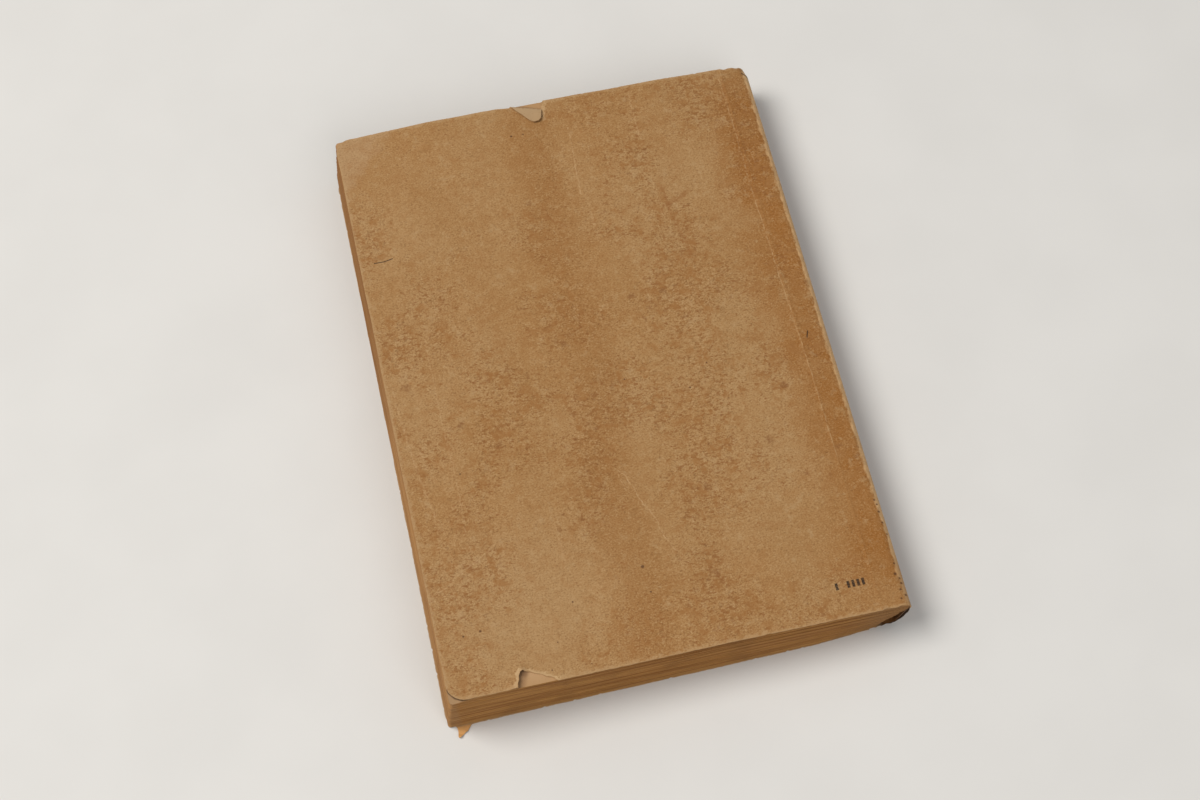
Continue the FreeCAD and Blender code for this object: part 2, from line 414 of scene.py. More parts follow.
def back_cover_outline():
    corner = 6.2
    head_corner = 5.2
    tear = [TEAR_OUTER, (73.6, 208.9), (73.0, 206.6), SLIT_END, (72.75, 206.4), TEAR_INNER]
    return outline_of([
        (resampled([(corner, 0), NOTCH[0]]), 11, 0.10, True),
        (resampled(NOTCH, 0.45), 12, 0.10, True),
        (resampled([NOTCH[-1], (BACK_CREASE, 0)]), 13, 0.10, True),
        (crease_line(BACK_CREASE), 0, 0, False),
        (resampled([(BACK_CREASE, HEIGHT), TEAR_OUTER]), 14, 0.10, True),
        (resampled(tear, 0.4), 0, 0, True),
        (resampled([TEAR_INNER, TEAR_START], 0.4), 0, 0, True),
        (resampled([TEAR_START, (57.5, HEIGHT - 0.05), (head_corner, HEIGHT)]), 15, 0.10, True),
        (corner_arc((head_corner, HEIGHT - head_corner), head_corner, 90), 0, 0, True),
        (resampled([(0, HEIGHT - head_corner), (0, corner)]), 16, 0.12, True),
        (corner_arc((corner, corner), corner, 180), 0, 0, True),
    ])


def notch_lift(u, v):
    """The card stands up along the left lip of the notch."""
    from_lip = segment_distance(np.stack([u, v], 1), np.array([[21.2, 0.0]]), np.array([[24.6, 5.5]]))
    return 0.95 * np.exp(-((from_lip / 1.7) ** 2)) * smooth((26.5 - u) / 2.5)


def place_back_cover(plan, depth):
    u, v = plan.T
    z = under_top(u, CARD * depth) + crease_ridge(u, BACK_CREASE) * (1 - depth)
    points = worn(np.stack([u, v, z], 1))
    points[:, 2] += notch_lift(u, v)
    return points


def fold_axes():
    """Start of the flap's fold, and unit vectors along it and away from the cover."""
    start, end = np.array(TEAR_START), np.array(TEAR_INNER)
    along = (end - start) / np.linalg.norm(end - start)
    return start, along, np.array([-along[1], along[0]])


def place_flap(plan, depth):
    """Folds a strip of card over the cover. plan is measured before folding."""
    start, along, outward = fold_axes()
    run = (plan - start) @ along
    out = np.maximum((plan - start) @ outward, 0)
    lift = math.radians(FLAP_LIFT) * (0.75 + 0.25 * smooth(run / 9))
    turned = np.minimum(out / (FOLD_RADIUS + CARD / 2), math.pi - lift)
    straight = out - turned * (FOLD_RADIUS + CARD / 2)
    radius = FOLD_RADIUS + CARD * depth
    aside = radius * np.sin(turned) + straight * np.cos(turned)
    height = FOLD_RADIUS - radius * np.cos(turned) + straight * np.sin(turned)
    height += 0.12 * smooth(out / 3) * waves(31, 6, run, out)
    flat = start + run[:, None] * along + aside[:, None] * outward
    base = place_back_cover(flat, 0.0)
    base[:, 2] += height
    return base


def folded_flap():
    """The flap's plan, mirrored back over the fold, then folded as card is."""
    start, _, outward = fold_axes()
    shown = np.array(FLAP) - start
    unfolded = start + shown - 2 * (shown @ outward)[:, None] * outward
    corners = np.vstack([unfolded, unfolded[:1]])
    outline = resampled(corners, 0.35)[:-1][::-1]
    columns, rows = (np.arange(part.min(), part.max(), 0.4) for part in outline.T)
    return card_sheet(outline, np.ones(len(outline), bool), columns, rows, place_flap)


def back_cover_piece(materials):
    outline, cut = back_cover_outline()
    columns = columns_to(BACK_CREASE, GRID_STEP, GRID_STEP)
    rows = np.arange(ROW_STEP, HEIGHT, GRID_STEP)
    cover = card_sheet(outline, cut, columns, rows, place_back_cover)
    points, faces, slots, edge = joined(cover, folded_flap())
    return mesh_object("back_cover_card", points, faces, materials, slots, {"book": points, "edge": edge})


# Front cover

SLIVER = [(0.2, 0), (0.35, -1.3), (0.05, -3.3), (0.3, -3.75), (0.9, -3.6), (2.2, -2.6), (3.4, -1.9), (4.9, 0)]


def front_cover_piece(materials):
    corner = 5.0
    fore = -LEAN
    tail_arc = corner_arc((fore + corner, corner), corner, 180)[:5]
    edges = [
        (tail_arc, 0, 0, True),
        (resampled([tail_arc[-1], SLIVER[0]], 0.4), 0, 0, True),
        (resampled(SLIVER, 0.3), 22, 0.08, True),
        (resampled([SLIVER[-1], (FRONT_CREASE, 0)]), 23, 0.2, True),
        (crease_line(FRONT_CREASE), 0, 0, False),
        (resampled([(FRONT_CREASE, HEIGHT), (fore + corner, HEIGHT)]), 24, 0.2, True),
        (corner_arc((fore + corner, HEIGHT - corner), corner, 90), 0, 0, True),
        (resampled([(fore, HEIGHT - corner), (fore, corner)]), 25, 0.2, True),
    ]
    outline, cut = outline_of(edges)
    columns = columns_to(FRONT_CREASE, fore + 1, 2.0)
    rows = np.arange(-3.0, HEIGHT, 2.0)

    def place(plan, depth):
        """Depth 0 is the inner face here, so that it is the upper one."""
        u, v = plan.T
        curl = 0.35 * smooth(-v / 4) * (1 + 0.5 * waves(26, 2, u, v))
        return worn(np.stack([u, v, CARD * (1 - depth) + np.maximum(curl, 0)], 1))

    points, faces, slots, edge = card_sheet(outline, cut, columns, rows, place)
    swapped = [{0: 1, 1: 0, 2: 2}[slot] for slot in slots]
    return mesh_object("front_cover_card", points, faces, materials, swapped, {"book": points, "edge": edge})


# Spine and glue


def tail_flare(v, z):
    """How far the loose lower spine stands off the leaves at the tail."""
    return 0.95 * smooth((9 - v) / 9) * smooth((z - 1.5) / 4) * smooth((15.5 - z) / 6)


def wrapped_piece(name, outer, inner, top_start, bottom_end, inset, bump, materials):
    """Layer that wraps the spine between two depths, with worn tail and head ends."""
    lines = [wrap_section(depth, top_start, bottom_end) for depth in (outer, inner)]
    rows = np.linspace(inset, HEIGHT - inset, int(HEIGHT / ROW_STEP) + 1)
    travel = travelled(lines[0])
    back_travel = travel[-1] - travel
    grids = []
    for line in lines:
        u, z = (np.tile(part, (len(rows), 1)) for part in line.T)
        v = np.tile(rows[:, None], (1, len(line)))
        fray = bump * 0.2 * np.abs(waves(41, 5, travel, 0))
        v = v + fray * np.clip(1 - (v - inset) / 3, 0, 1) - fray * np.clip(1 - (HEIGHT - inset - v) / 3, 0, 1)
        u = u + bump * tail_flare(v, z) * (u > GLUE_START)
        if line is lines[0]:
            z = z + bump * crease_ridge(u, BACK_CREASE) * (z > SPINE_RADIUS)
            dents = np.maximum(0, 1 + waves(42, 18, v, travel))
            on_spine = smooth((travel - 10) / 3) * smooth((back_travel - 10) / 3)
            u = u - bump * 0.1 * dents * on_spine
        grids.append(worn(np.stack([u.ravel(), v.ravel(), z.ravel()], 1)))
    points = np.vstack(grids)
    faces, slots = [], []

    def quads(slot, *corners):
        """Faces whose four corners run along these four arrays of point numbers."""
        made = np.stack(corners, -1).reshape(-1, 4).tolist()
        faces.extend(made)
        slots.extend([slot] * len(made))

    out, back = np.arange(len(points)).reshape(2, len(rows), len(travel))
    quads(0, out[:-1, :-1], out[:-1, 1:], out[1:, 1:], out[1:, :-1])
    quads(1, back[:-1, :-1], back[1:, :-1], back[1:, 1:], back[:-1, 1:])
    quads(2, out[:-1, 0], out[1:, 0], back[1:, 0], back[:-1, 0])
    quads(2, out[:-1, -1], back[:-1, -1], back[1:, -1], out[1:, -1])
    quads(2, out[0, :-1], back[0, :-1], back[0, 1:], out[0, 1:])
    quads(2, out[-1, :-1], out[-1, 1:], back[-1, 1:], back[-1, :-1])
    slots = [min(slot, len(materials) - 1) for slot in slots]

    strip = WIDTH - BACK_CREASE - 0.6
    from_crease = np.minimum(np.abs(travel - strip), np.abs(back_travel - strip))
    from_end = np.minimum(rows - inset, HEIGHT - inset - rows)[:, None]
    edge = np.tile(np.minimum(from_crease + 0.25, from_end).ravel(), 2)
    return mesh_object(name, points, faces, materials, slots, {"book": points, "edge": edge})


# Leaves


def leaf_height(u, share):
    """Height of the leaf that is this share of the way up the block."""
    in_glue = smooth((u - GLUE_START + 0.5) / 0.5) * (GLUE - LOOSE)
    top = under_top(u, CARD + LOOSE) - in_glue
    bottom = CARD + LOOSE + smooth((u - GLUE_START + LEAN + 0.5) / 0.5) * (GLUE - LOOSE)
    return bottom + share * (top - bottom)


def leaf_end(share):
    """u of the leaf's bound edge, inside the glue."""
    upper, lower = spine_circles()
    radius = SPINE_RADIUS - CARD - GLUE
    z = leaf_height(WIDTH, share)
    rise = (z - lower[1]) / (upper[1] - lower[1])
    side = lower[0] + (upper[0] - lower[0]) * rise + radius
    above = upper[0] + np.sqrt(np.maximum(radius ** 2 - np.maximum(z - upper[1], 0) ** 2, 0))
    below = lower[0] + np.sqrt(np.maximum(radius ** 2 - np.maximum(lower[1] - z, 0) ** 2, 0))
    return np.minimum(side, np.where(z > upper[1], above, np.where(z < lower[1], below, side)))


def leaf_ring():
    """Outline of one leaf as (share across, v, corner u offset, outward u, outward v)."""
    low, high = PAGE_INSET, HEIGHT - PAGE_INSET
    corner = PAGE_CORNER
    across = np.concatenate([np.linspace(1, 0.91, 22)[:-1], np.linspace(0.91, corner / WIDTH, 60)])
    along = np.linspace(low + corner, high - corner, 100)
    turn = np.linspace(0, math.pi / 2, 6)[1:-1]

    def rounded(angle, edge, side):
        """Point of a rounded corner; the angle opens from the tail (-1) or head (1) edge."""
        fore, end = math.sin(angle), math.cos(angle)
        return (0.0, edge - side * corner * (1 - end), corner * (1 - fore), -fore, side * end)

    rows = [(f, low, 0.0, 0.0, -1.0) for f in across]
    rows += [rounded(a, low, -1) for a in turn]
    rows += [(0.0, v, 0.0, -1.0, 0.0) for v in along]
    rows += [rounded(math.pi / 2 - a, high, 1) for a in turn]
    rows += [(f, high, 0.0, 0.0, 1.0) for f in across[::-1]]
    rows += [(1.0, v, 0.0, 0.0, 0.0) for v in np.linspace(high, low, 30)[1:-1]]
    return np.array(rows)


def corner_sag(u, v, share):
    """The upper leaves sink away from the cover at the tail's fore corner."""
    return 1.9 * share ** 3 * np.exp(-(np.hypot(u, v) / 6.0) ** 2)


def hollow(u, v, z):
    """1 in the dark hollow at the tail, between the leaves and the loose lower spine."""
    edge = HOLLOW_TOP + HOLLOW_RISE * (u - HOLLOW_START)
    return smooth((edge - z) / 3.0) * smooth((u - HOLLOW_START + 3) / 4.0) * smooth((6 - v) / 4)


def leaf_outset(rng, ring, travel, share, layer):
    """How far this leaf's edge stands out from the trimmed block."""
    bundles = 0.07 * waves(51, 0.07, np.full(len(ring), share), travel / 2000)
    long_bundles = 0.05 * waves(52, 0.25, np.full(len(ring), share), travel / 500)
    return np.clip(0.1 + bundles + long_bundles + layer + 0.02 * rng.standard_normal(), -0.4, 0.3)


def leaves_piece(materials):
    rng = np.random.default_rng(50)
    ring = leaf_ring()
    size = len(ring)
    rows, shares = [], []
    base_u = np.where(ring[:, 0] > 0, ring[:, 0] * WIDTH, 0)
    travel = np.concatenate([[0], np.cumsum(np.hypot(np.diff(base_u), np.diff(ring[:, 1])))])
    for layer in range(LEAF_LAYERS):
        own = 0.04 * rng.standard_normal()
        outset = leaf_outset(rng, ring, travel, (layer + 0.5) / LEAF_LAYERS, own)
        for part in (LEAF_GAP, 1 - LEAF_GAP):
            share = (layer + part) / LEAF_LAYERS
            if layer == 0 and part == LEAF_GAP:
                share = 0.0
            if layer == LEAF_LAYERS - 1 and part != LEAF_GAP:
                share = 1.0
            left = PAGE_INSET - LEAN * (1 - share)
            right = leaf_end(share)
            u = np.where(ring[:, 0] > 0, left + ring[:, 0] * (right - left), left + ring[:, 2])
            u = u + ring[:, 3] * outset
            v = ring[:, 1] + ring[:, 4] * outset
            z = leaf_height(u, share)
            v = v + HOLLOW_DEPTH * hollow(u, v, z) * (ring[:, 4] < -0.5)
            rows.append(np.stack([u, v, z], 1))
            shares.append(np.full(size, share))
    points = np.vstack(rows)
    share = np.concatenate(shares)
    here = np.arange(len(points)).reshape(len(rows), size)
    ahead = np.roll(here, -1, axis=1)
    faces = np.stack([ahead[:-1], here[:-1], here[1:], ahead[1:]], -1).reshape(-1, 4).tolist()
    slots = [0] * len(faces)
    for up, first in enumerate((0, (len(rows) - 1) * size)):
        outline = points[first:first + size, :2]
        step = 2.0 if up else 12.0
        columns = np.arange(outline[:, 0].min() + 1, outline[:, 0].max(), step)
        grid_rows = np.arange(PAGE_INSET + 1, HEIGHT - PAGE_INSET, step)
        plan, triangles = plan_triangles(outline[::-1], columns, grid_rows)
        inner = plan[size:]
        known = np.concatenate([np.arange(first, first + size)[::-1], len(points) + np.arange(len(inner))])
        height = leaf_height(inner[:, 0], up)
        points = np.vstack([points, np.column_stack([inner, height])])
        share = np.concatenate([share, np.full(len(inner), float(up))])
        for face in triangles:
            face = [int(known[i]) for i in face]
            faces.append(face if up else face[::-1])
            slots.append(1)
    before = points.copy()
    points[:, 2] -= corner_sag(points[:, 0], points[:, 1], share)
    points = worn(points)
    extra = {"book": before, "leaf": share}
    return mesh_object("leaves", points, faces, materials, slots, extra)


# Materials


def srgb(red, green, blue):
    """Colour for a shader from 0 to 255 screen values."""
    def linear(part):
        part = part / 255
        return part / 12.92 if part <= 0.04045 else ((part + 0.055) / 1.055) ** 2.4
    return (linear(red), linear(green), linear(blue), 1.0)


class Surface:
    """One material's node tree and its colour so far, with short calls for the nodes used here.
    Nodes are made in the order of the calls, each one after those that it reads."""

    def __init__(self, name):
        self.material = bpy.data.materials.new(name)
        self.material.use_nodes = True
        self.tree = self.material.node_tree
        self.tree.nodes.clear()
        self.colour = None

    def node(self, kind, inputs=(), **settings):
        made = self.tree.nodes.new("ShaderNode" + kind)
        for key, value in settings.items():
            setattr(made, key, value)
        for key, value in dict(inputs).items():
            if isinstance(value, bpy.types.NodeSocket):
                self.tree.links.new(value, made.inputs[key])
            else:
                made.inputs[key].default_value = value
        return made

    def math(self, operation, first, second=0.0):
        return self.node("Math", {0: first, 1: second}, operation=operation).outputs[0]

    def plus(self, first, second):
        return self.math("ADD", first, second)

    def minus(self, first, second):
        return self.math("SUBTRACT", first, second)

    def times(self, *values):
        result = values[0]
        for value in values[1:]:
            result = self.math("MULTIPLY", result, value)
        return result

    def highest(self, values):
        """The largest of several values, each taken as soon as it is made."""
        result = None
        for value in values:
            result = value if result is None else self.math("MAXIMUM", result, value)
        return result

    def vector(self, operation, first, second=(0, 0, 0)):
        made = self.node("VectorMath", {0: first, 1: second}, operation=operation)
        return made.outputs["Value" if operation in ("DISTANCE", "DOT_PRODUCT") else "Vector"]

    def point(self, x, y, z=0.0):
        return self.node("CombineXYZ", {0: x, 1: y, 2: z}).outputs[0]

    def attribute(self, name, output="Vector"):
        return self.node("Attribute", attribute_name=name).outputs[output]

    def axes(self, vector):
        return self.node("SeparateXYZ", {0: vector}).outputs

    def channels(self, colour):
        return self.node("SeparateColor", {0: colour}).outputs

    def noise(self, at, size, detail=2.0, roughness=0.5, output="Fac"):
        inputs = {"Vector": at, "Scale": 1 / size, "Detail": detail, "Roughness": roughness}
        return self.node("TexNoise", inputs).outputs[output]

    def ramp(self, value, low, high, to_low=0.0, to_high=1.0):
        inputs = {"Value": value, "From Min": low, "From Max": high, "To Min": to_low, "To Max": to_high}
        return self.node("MapRange", inputs, interpolation_type="SMOOTHSTEP").outputs[0]

    def mix(self, share, first, second):
        inputs = {0: share, 6: first, 7: second}
        return self.node("Mix", inputs, data_type="RGBA").outputs[2]

    def base(self, share, first, second):
        """Starts with a mix of two screen colours."""
        self.colour = self.mix(share, srgb(*first), srgb(*second))

    def tint(self, screen_colour, *shares):
        """Lays the product of these shares of a colour over what is there."""
        self.colour = self.mix(self.times(*shares), self.colour, srgb(*screen_colour))

    def shifted(self, at, size, amount):
        """The same place, moved about by smooth noise."""
        parts = self.channels(self.noise(at, size, 2.0, 0.5, "Color"))
        across, along = [self.ramp(part, 0.2, 0.8, -amount, amount) for part in parts[:2]]
        return self.vector("ADD", at, self.point(across, along))

    def spot(self, at, centre, radius, core=0.3):
        """1 at the centre and 0 from the radius on."""
        distance = self.vector("DISTANCE", at, (*centre, 0))
        return self.ramp(distance, radius, radius * core)

    def dots(self, at, spacing, smallest, reach):
        """Round dots scattered at this spacing, each of its own size."""
        cells = self.node("TexVoronoi", {"Vector": at, "Scale": 1 / spacing})
        size = self.ramp(self.channels(cells.outputs["Color"])[0], smallest, 1.0, 0.0, reach)
        near = self.math("DIVIDE", cells.outputs["Distance"], self.plus(size, 0.001))
        return self.ramp(near, 1.0, 0.3)

    def band(self, value, middle, width, soft=0.15):
        """1 where the value lies within this width about the middle."""
        offset = self.math("ABSOLUTE", self.minus(value, middle))
        return self.ramp(offset, width / 2, width / 2 - soft)

    def stroke(self, at, start, end, width):
        """1 along the line from start to end and 0 half a width away."""
        along = np.array([end[0] - start[0], end[1] - start[1], 0.0])
        rate = along / (along @ along)
        offset = self.vector("SUBTRACT", at, (*start, 0))
        share = self.math("MAXIMUM", self.vector("DOT_PRODUCT", offset, tuple(rate)), 0.0)
        share = self.math("MINIMUM", share, 1.0)
        inputs = {0: tuple(along), "Scale": share}
        nearest = self.node("VectorMath", inputs, operation="SCALE").outputs[0]
        return self.ramp(self.vector("DISTANCE", offset, nearest), width / 2, width / 8)

    def line(self, at, points, width):
        """1 along a line through several points."""
        pairs = zip(points[:-1], points[1:])
        return self.highest(self.stroke(at, start, end, width) for start, end in pairs)

    def finish(self, height, depth, roughness, specular=0.25):
        """The material, with a bump of this depth in millimetres."""
        inputs = {"Height": height, "Distance": depth * MM, "Strength": 1.0}
        bump = self.node("Bump", inputs).outputs[0]
        inputs = {"Base Color": self.colour, "Roughness": roughness, "Normal": bump}
        inputs["Specular IOR Level"] = specular
        surface = self.node("BsdfPrincipled", inputs).outputs[0]
        self.node("OutputMaterial", {0: surface})
        return self.material


# Stains and marks on the back cover, with places (u, v) and sizes in millimetres

DULL = (130, 93, 61)
BROWN = (140, 93, 46)
GREENISH = (142, 108, 60)
REDDISH = (156, 108, 66)
PALE = (168, 134, 95)
AMBER = (170, 126, 76)

# u, v, radius, strength and colour
BLOTCHES = [
    (26, 112, 11, 0.95, DULL), (35, 103, 14, 0.5, DULL), (6.4, 110, 6, 0.8, DULL),
    (6.4, 131, 10, 0.5, DULL), (36.6, 77, 13, 0.6, DULL), (28, 97, 9, 0.25, GREENISH),
    (32, 140, 14, 0.25, GREENISH), (18, 183, 10, 0.2, BROWN), (123, 89, 7, 1.0, DULL),
    (127, 99, 11, 0.8, BROWN), (109.5, 162, 8, 0.95, BROWN), (114, 163, 6, 0.6, BROWN),
    (109.5, 143, 9, 0.65, GREENISH), (104, 136, 8, 0.3, GREENISH), (119, 66, 10, 0.7, DULL),
    (104, 35, 16, 0.65, BROWN), (112, 48, 16, 0.45, BROWN), (108.5, 120, 15, 0.55, GREENISH),
    (112, 106, 16, 0.5, BROWN), (11.6, 153.6, 12, 0.4, REDDISH), (10.6, 85, 10, 0.35, REDDISH),
    (106, 188, 12, 0.3, GREENISH), (140, 100, 6, 0.35, BROWN), (44, 172, 24, 0.4, PALE),
    (129, 158, 9, 0.5, PALE), (50, 100, 12, 0.3, PALE), (116, 136, 9, 0.3, PALE),
    (142, 204, 9, 0.6, PALE), (144, 5, 8, 0.6, PALE), (130, 8, 9, 0.3, PALE),
    (4, 170, 8, 0.2, PALE), (19, 15, 11, 0.45, AMBER),
]

# u, v and radius
FOXING = [
    (87.3, 126.8, 1.7), (97.8, 126.5, 1.5), (61, 114.3, 1.6), (102.7, 115.5, 1.3),
    (6.9, 109.5, 2.3), (112.3, 119.3, 1.1), (61.2, 169.8, 1.2), (47, 105, 1.0),
    (118.8, 65.5, 1.9), (95, 53.5, 1.9), (53.3, 50.7, 1.3), (45.3, 49.2, 1.1),
    (48, 54, 0.9), (64.5, 81.3, 1.0), (128.5, 83.5, 1.8), (110, 57, 1.3),
    (127.5, 51, 1.5), (90.8, 23.5, 1.6), (105, 182.5, 1.0), (58.5, 67, 1.1),
    (32.5, 82.5, 1.8), (140, 58, 1.6), (99, 68, 1.0), (22, 92, 1.6),
]
SPECKS = [
    (68.4, 30.9, 0.75), (69, 22, 0.45), (44.3, 24.3, 0.45), (14.1, 20.9, 0.55),
    (8.6, 20.3, 0.5), (36.9, 12.2, 0.35), (18.3, 75, 0.4), (77.8, 97, 0.4),
    (98.2, 89.2, 0.45), (105.7, 97, 0.35), (60.6, 197.7, 0.55), (64.8, 197.6, 0.4),
    (146.2, 37.1, 0.5), (146.6, 35.5, 0.5), (146.5, 32.9, 0.55), (146.6, 29, 0.5),
    (147, 24.9, 0.4), (146.7, 7.7, 0.6), (33.3, 3.6, 0.35), (145.6, 11, 0.7),
    (146.6, 9.4, 0.5), (145.8, 5.6, 0.5), (147, 3.6, 0.6), (146.3, 14.6, 0.5),
    (145.2, 2.6, 0.5),
]

# Points, width and strength
DARK_LINES = [
    ([(5.1, 158.5), (8.5, 158.4), (11.4, 158.9)], 0.5, 1.0),
    ([(141.4, 101.2), (140.6, 98.9)], 0.55, 1.0),
    ([(146, 207.2), (147.2, 206.4), (147.7, 205.9)], 0.9, 0.75),
]
BROWN_STREAKS = [
    ([(107, 167), (107.8, 158.5)], 1.6, 0.45),
    ([(107.8, 158.5), (109, 150), (110.6, 137.5)], 2.0, 0.3),
    ([(107.4, 160.2), (111, 160.6), (115, 163)], 2.6, 0.4),
    ([(65.4, 163.6), (68.5, 161), (71.6, 158.8)], 1.5, 0.35),
    ([(89.6, 26), (91.8, 21)], 1.8, 0.35),
]
PALE_LINES = [
    ([(80.6, 197), (80, 182), (79.4, 170)], 0.9, 0.45), ([(80.9, 166), (81.2, 150)], 1.2, 0.25),
    ([(104.4, 206), (104.2, 188)], 0.8, 0.35), ([(104.3, 176), (105, 150)], 0.7, 0.2),
    ([(16.4, 126), (16, 100), (16.6, 75), (16.2, 48)], 0.7, 0.3),
    ([(68.2, 65.2), (70.4, 62.4), (71.5, 59), (73.8, 51.6), (76.1, 46.5), (77.9, 38), (80.6, 33.5)],
     0.55, 0.6),
    ([(67.8, 66), (69, 58.5), (70.2, 56)], 0.4, 0.35),
    ([(3.2, 36), (8, 38.2), (12, 41.5), (18.5, 44.5), (24.5, 48.5)], 0.7, 0.4),
    ([(2.2, 112), (3.6, 92), (5.6, 74), (7.6, 62)], 0.8, 0.35),
    ([(112, 120), (111, 95), (109, 78)], 0.5, 0.18), ([(52, 30), (57, 22), (62, 12)], 0.6, 0.2),
    ([(44.5, 50), (45, 36)], 1.0, 0.2), ([(31, 69), (31.5, 44)], 0.8, 0.15),
    ([(92, 150), (93, 120)], 0.6, 0.14), ([(127.5, 150), (129, 168)], 1.2, 0.16),
]
# Pale torn fibre along torn edges; on the notch's raised left lip it is also a painted highlight.
TORN_RIMS_AND_LIP_HIGHLIGHT = [
    ([(24.8, 5.7), (27, 4.8), (30.2, 3.3), (33, 1.8), (34.9, 0.4)], 1.3, 0.75),
    ([(20.9, 0.2), (21.9, 2.4), (22.3, 4.1), (23.7, 5.7)], 1.5, 0.75),
    ([(73.6, 203.5), (73.9, 206.8), (75, 209.5)], 1.4, 0.5),
    ([(147.1, 205.2), (147.7, 203.6)], 1.7, 1.0),
]
CREASE_MARK = [
    (137.3, 206), (137.4, 181.6), (137.2, 165), (137.6, 130), (137.9, 110), (138.5, 84.5), (138.7, 52),
]

# Plain bars stand where the cover has its line of print
INK_BASE = 9.5
INK_TALL = 2.5
INK_WIDE = 1.05
INK_BARS = [125.9, 129.7, 131.3, 132.9, 134.5]


def body_colour(mat, place, u, v):
    """The card's own colour: broad mottling, the two brown bands and the pale patches."""
    mat.base(mat.ramp(mat.noise(place, 42, 3, 0.55), 0.36, 0.64), (165, 126, 80), (160, 118, 70))
    bent = mat.shifted(place, 16, 5)
    mat.tint((170, 134, 90), mat.spot(bent, (25, 27), 50), 0.75)
    mat.tint((162, 129, 92), mat.line(bent, [(82.5, 180), (82.5, 94)], 22), 0.7)
    soft = mat.shifted(place, 5, 2)
    patches = mat.ramp(mat.noise(place, 4, 4, 0.7), 0.36, 0.6, 0.35, 1)
    for *centre, radius, strength, stain in BLOTCHES:
        broken = [] if stain == PALE else [patches]
        mat.tint(stain, mat.spot(soft, centre, radius, 0.15), strength, *broken)
    bent_u = mat.axes(bent)[0]
    offset = mat.math("ABSOLUTE", mat.minus(bent_u, 67))
    mat.tint((151, 106, 57), mat.ramp(offset, 13.5, 4, 0, 0.68))
    near_spine = mat.times(mat.ramp(bent_u, 124, 141), mat.ramp(v, 2, 16, 0.4, 1))
    near_spine = mat.times(near_spine, mat.ramp(v, 209, 190, 0.45, 1))
    cloudy = mat.ramp(mat.noise(place, 9, 4, 0.65), 0.3, 0.62, 0.45, 1)
    mat.tint((147, 95, 39), near_spine, cloudy)
    diagonal = mat.vector("DOT_PRODUCT", mat.shifted(place, 5, 2), (-0.788, 0.615, 0))
    mat.tint((173, 139, 100), mat.ramp(diagonal, 112, 117), 0.62)


def fibres(mat, place, u, density):
    """Grain and dark flecks of the card's fibres, thicker where density is high."""
    grain = mat.noise(mat.vector("MULTIPLY", place, (0.85, 1.1, 1)), 0.55, 4, 0.8)
    rough = mat.ramp(density, 0, 1.2, 0.7, 1.12)
    mat.tint((108, 70, 34), mat.ramp(grain, 0.51, 0.28), rough)
    light = mat.ramp(grain, 0.49, 0.7, 0, 0.9)
    mat.tint((185, 150, 107), light, rough, mat.ramp(u, 126, 142, 1, 0.8))
    flecks = mat.noise(mat.vector("MULTIPLY", place, (0.75, 1.2, 1)), 1.2, 4, 0.65)
    threshold = mat.ramp(density, 0, 1, 0.66, 0.52)
    mat.tint((132, 84, 39), mat.ramp(mat.minus(flecks, threshold), 0, 0.07, 0, 0.7))
    medium = mat.noise(place, 3.6, 5, 0.7)
    brown = mat.ramp(medium, 0.47, 0.66, 0, 0.85)
    mat.tint((149, 102, 54), brown, mat.ramp(density, 0, 1, 0.35, 1))
    mat.tint((176, 143, 101), mat.ramp(medium, 0.46, 0.3, 0, 0.45))


def hollow_dirt_and_shade(mat, u, v, z, deep):
    """1 in the dark hollow at the tail, down to this depth: the mask for its dirt and painted shade."""
    edge = mat.plus(mat.times(mat.minus(u, HOLLOW_START), HOLLOW_RISE), HOLLOW_TOP)
    below = mat.ramp(mat.minus(edge, z), -0.6, 1.6)
    across = mat.ramp(u, HOLLOW_START - 3.5, HOLLOW_START + 1)
    return mat.times(below, across, mat.ramp(v, deep, deep / 2))


